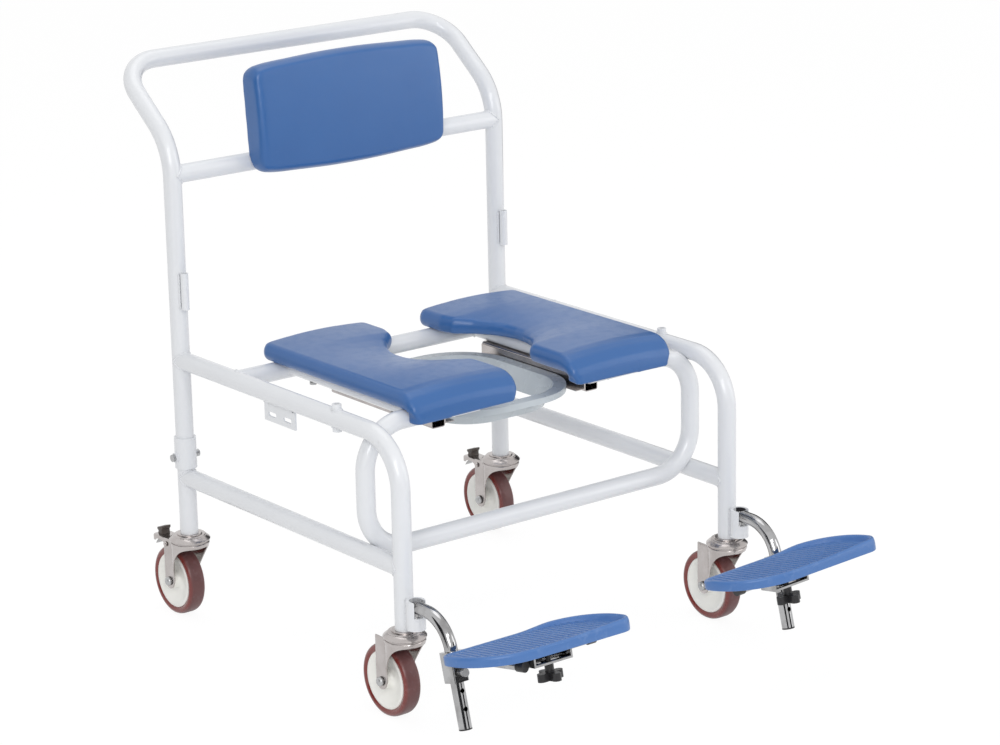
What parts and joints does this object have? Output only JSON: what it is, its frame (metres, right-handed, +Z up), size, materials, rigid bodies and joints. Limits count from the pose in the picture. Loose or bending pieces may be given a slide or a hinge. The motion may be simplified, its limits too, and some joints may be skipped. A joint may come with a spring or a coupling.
{
  "type": "shower commode wheelchair",
  "caption": "Wide shower commode chair on braked swivel castors, with a push bow, padded split seat over an open pan ring, back pad and adjustable footrests.",
  "frame": {"origin": "middle of the footprint, on the floor", "axes": "+Z up, -Y towards the front and the footrests, +X towards the chair's left as its user sits"},
  "size_m": [0.8422, 1.13, 0.996],
  "materials": {
    "frame_white": "powder coated, semi gloss",
    "stainless": "satin stainless steel",
    "chrome": "polished chrome",
    "pad_blue": "smooth moulded skin, satin",
    "plate_blue": "moulded, fine ribs",
    "tyre_red": "dark red cast polyurethane",
    "hub_white": "moulded nylon",
    "ring_white": "moulded",
    "black_plastic": "moulded",
    "zinc": "zinc plated"
  },
  "bodies": {
    "frame": {"push_bow": "frame_white", "rear_leg_left": "frame_white", "rear_leg_right": "frame_white", "rear_collars": "frame_white", "collar_bolts": "zinc", "side_tube_left": "frame_white", "side_tube_right": "frame_white", "lower_rails": "frame_white", "front_loop": "frame_white", "rear_seat_tube": "frame_white", "seat_bearers": "frame_white", "back_cross_tube": "frame_white", "back_pad": "pad_blue", "back_pad_clips": "zinc", "back_pad_screws": "zinc", "seat_pad_left": "pad_blue", "seat_pad_right": "pad_blue", "seat_pad_screws": "zinc", "pan_rails": "stainless", "armrest_sockets": "frame_white", "accessory_plates": "frame_white", "rail_bushes": "frame_white", "castor_stems": "stainless", "footrest_sockets": "frame_white"},
    "pan": {"pan_ring": "ring_white"},
    "castor_rear_left": {"castor_fork_rear_left": "stainless", "castor_axle_rear_left": "stainless"},
    "wheel_rear_left": {"castor_hub_rear_left": "hub_white", "castor_tyre_rear_left": "tyre_red"},
    "brake_left": {"brake_lever_left": "stainless", "brake_pedal_left": "black_plastic"},
    "castor_rear_right": {"castor_fork_rear_right": "stainless", "castor_axle_rear_right": "stainless"},
    "wheel_rear_right": {"castor_hub_rear_right": "hub_white", "castor_tyre_rear_right": "tyre_red"},
    "brake_right": {"brake_lever_right": "stainless", "brake_pedal_right": "black_plastic"},
    "castor_front_left": {"castor_fork_front_left": "stainless", "castor_axle_front_left": "stainless"},
    "wheel_front_left": {"castor_hub_front_left": "hub_white", "castor_tyre_front_left": "tyre_red"},
    "castor_front_right": {"castor_fork_front_right": "stainless", "castor_axle_front_right": "stainless"},
    "wheel_front_right": {"castor_hub_front_right": "hub_white", "castor_tyre_front_right": "tyre_red"},
    "footrest_left": {"hanger_left": "chrome", "hanger_plug_left": "black_plastic"},
    "height_left": {"carrier_left": "chrome", "bar_caps_left": "black_plastic", "clamp_bolt_left": "zinc"},
    "plate_left": {"foot_plate_left": "plate_blue"},
    "knob_turn_left": {"knob_left": "black_plastic"},
    "footrest_right": {"hanger_right": "chrome", "hanger_plug_right": "black_plastic"},
    "height_right": {"carrier_right": "chrome", "bar_caps_right": "black_plastic", "clamp_bolt_right": "zinc"},
    "plate_right": {"foot_plate_right": "plate_blue"},
    "knob_turn_right": {"knob_right": "black_plastic"}
  },
  "joints": [
    {"name": "pan_slide", "type": "slide", "parent": "frame", "child": "pan", "axis": [0, 1, 0], "range_m": [0, 0.23]},
    {"name": "swivel_rear_left", "type": "hinge", "parent": "frame", "child": "castor_rear_left", "pos_m": [-0.35, 0.3905, 0.1465], "axis": [0, 0, 1], "continuous": true},
    {"name": "spin_rear_left", "type": "hinge", "parent": "castor_rear_left", "child": "wheel_rear_left", "pos_m": [-0.35, 0.4305, 0.0625], "axis": [1, 0, 0], "continuous": true},
    {"name": "brake_press_left", "type": "hinge", "parent": "castor_rear_left", "child": "brake_left", "pos_m": [-0.35, 0.4365, 0.131], "axis": [-1, 0, 0], "range_deg": [0, 10]},
    {"name": "swivel_rear_right", "type": "hinge", "parent": "frame", "child": "castor_rear_right", "pos_m": [0.35, 0.3905, 0.1465], "axis": [0, 0, 1], "continuous": true},
    {"name": "spin_rear_right", "type": "hinge", "parent": "castor_rear_right", "child": "wheel_rear_right", "pos_m": [0.35, 0.4305, 0.0625], "axis": [1, 0, 0], "continuous": true},
    {"name": "brake_press_right", "type": "hinge", "parent": "castor_rear_right", "child": "brake_right", "pos_m": [0.35, 0.4365, 0.131], "axis": [-1, 0, 0], "range_deg": [0, 10]},
    {"name": "swivel_front_left", "type": "hinge", "parent": "frame", "child": "castor_front_left", "pos_m": [-0.35, -0.2535, 0.1465], "axis": [0, 0, 1], "continuous": true},
    {"name": "spin_front_left", "type": "hinge", "parent": "castor_front_left", "child": "wheel_front_left", "pos_m": [-0.35, -0.2135, 0.0625], "axis": [1, 0, 0], "continuous": true},
    {"name": "swivel_front_right", "type": "hinge", "parent": "frame", "child": "castor_front_right", "pos_m": [0.35, -0.2535, 0.1465], "axis": [0, 0, 1], "continuous": true},
    {"name": "spin_front_right", "type": "hinge", "parent": "castor_front_right", "child": "wheel_front_right", "pos_m": [0.35, -0.2135, 0.0625], "axis": [1, 0, 0], "continuous": true},
    {"name": "lift_left", "type": "slide", "parent": "frame", "child": "footrest_left", "axis": [0, 0, 1], "range_m": [0, 0.04]},
    {"name": "lower_left", "type": "slide", "parent": "footrest_left", "child": "height_left", "axis": [0, -0.2571, -0.9664], "range_m": [0, 0.058]},
    {"name": "shift_left", "type": "slide", "parent": "height_left", "child": "plate_left", "axis": [1, 0, 0], "range_m": [-0.02, 0.02]},
    {"name": "turn_left", "type": "hinge", "parent": "plate_left", "child": "knob_turn_left", "pos_m": [-0.267, -0.51919, 0.18321], "axis": [0, 0.1736, 0.9848], "continuous": true},
    {"name": "lift_right", "type": "slide", "parent": "frame", "child": "footrest_right", "axis": [0, 0, 1], "range_m": [0, 0.04]},
    {"name": "lower_right", "type": "slide", "parent": "footrest_right", "child": "height_right", "axis": [0, -0.2571, -0.9664], "range_m": [0, 0.058]},
    {"name": "shift_right", "type": "slide", "parent": "height_right", "child": "plate_right", "axis": [0.9989, 0, 0.0471], "range_m": [-0.02, 0.02]},
    {"name": "turn_right", "type": "hinge", "parent": "plate_right", "child": "knob_turn_right", "pos_m": [0.25479, -0.50442, 0.18382], "axis": [-0.0464, 0.1736, 0.9837], "continuous": true}
  ]
}
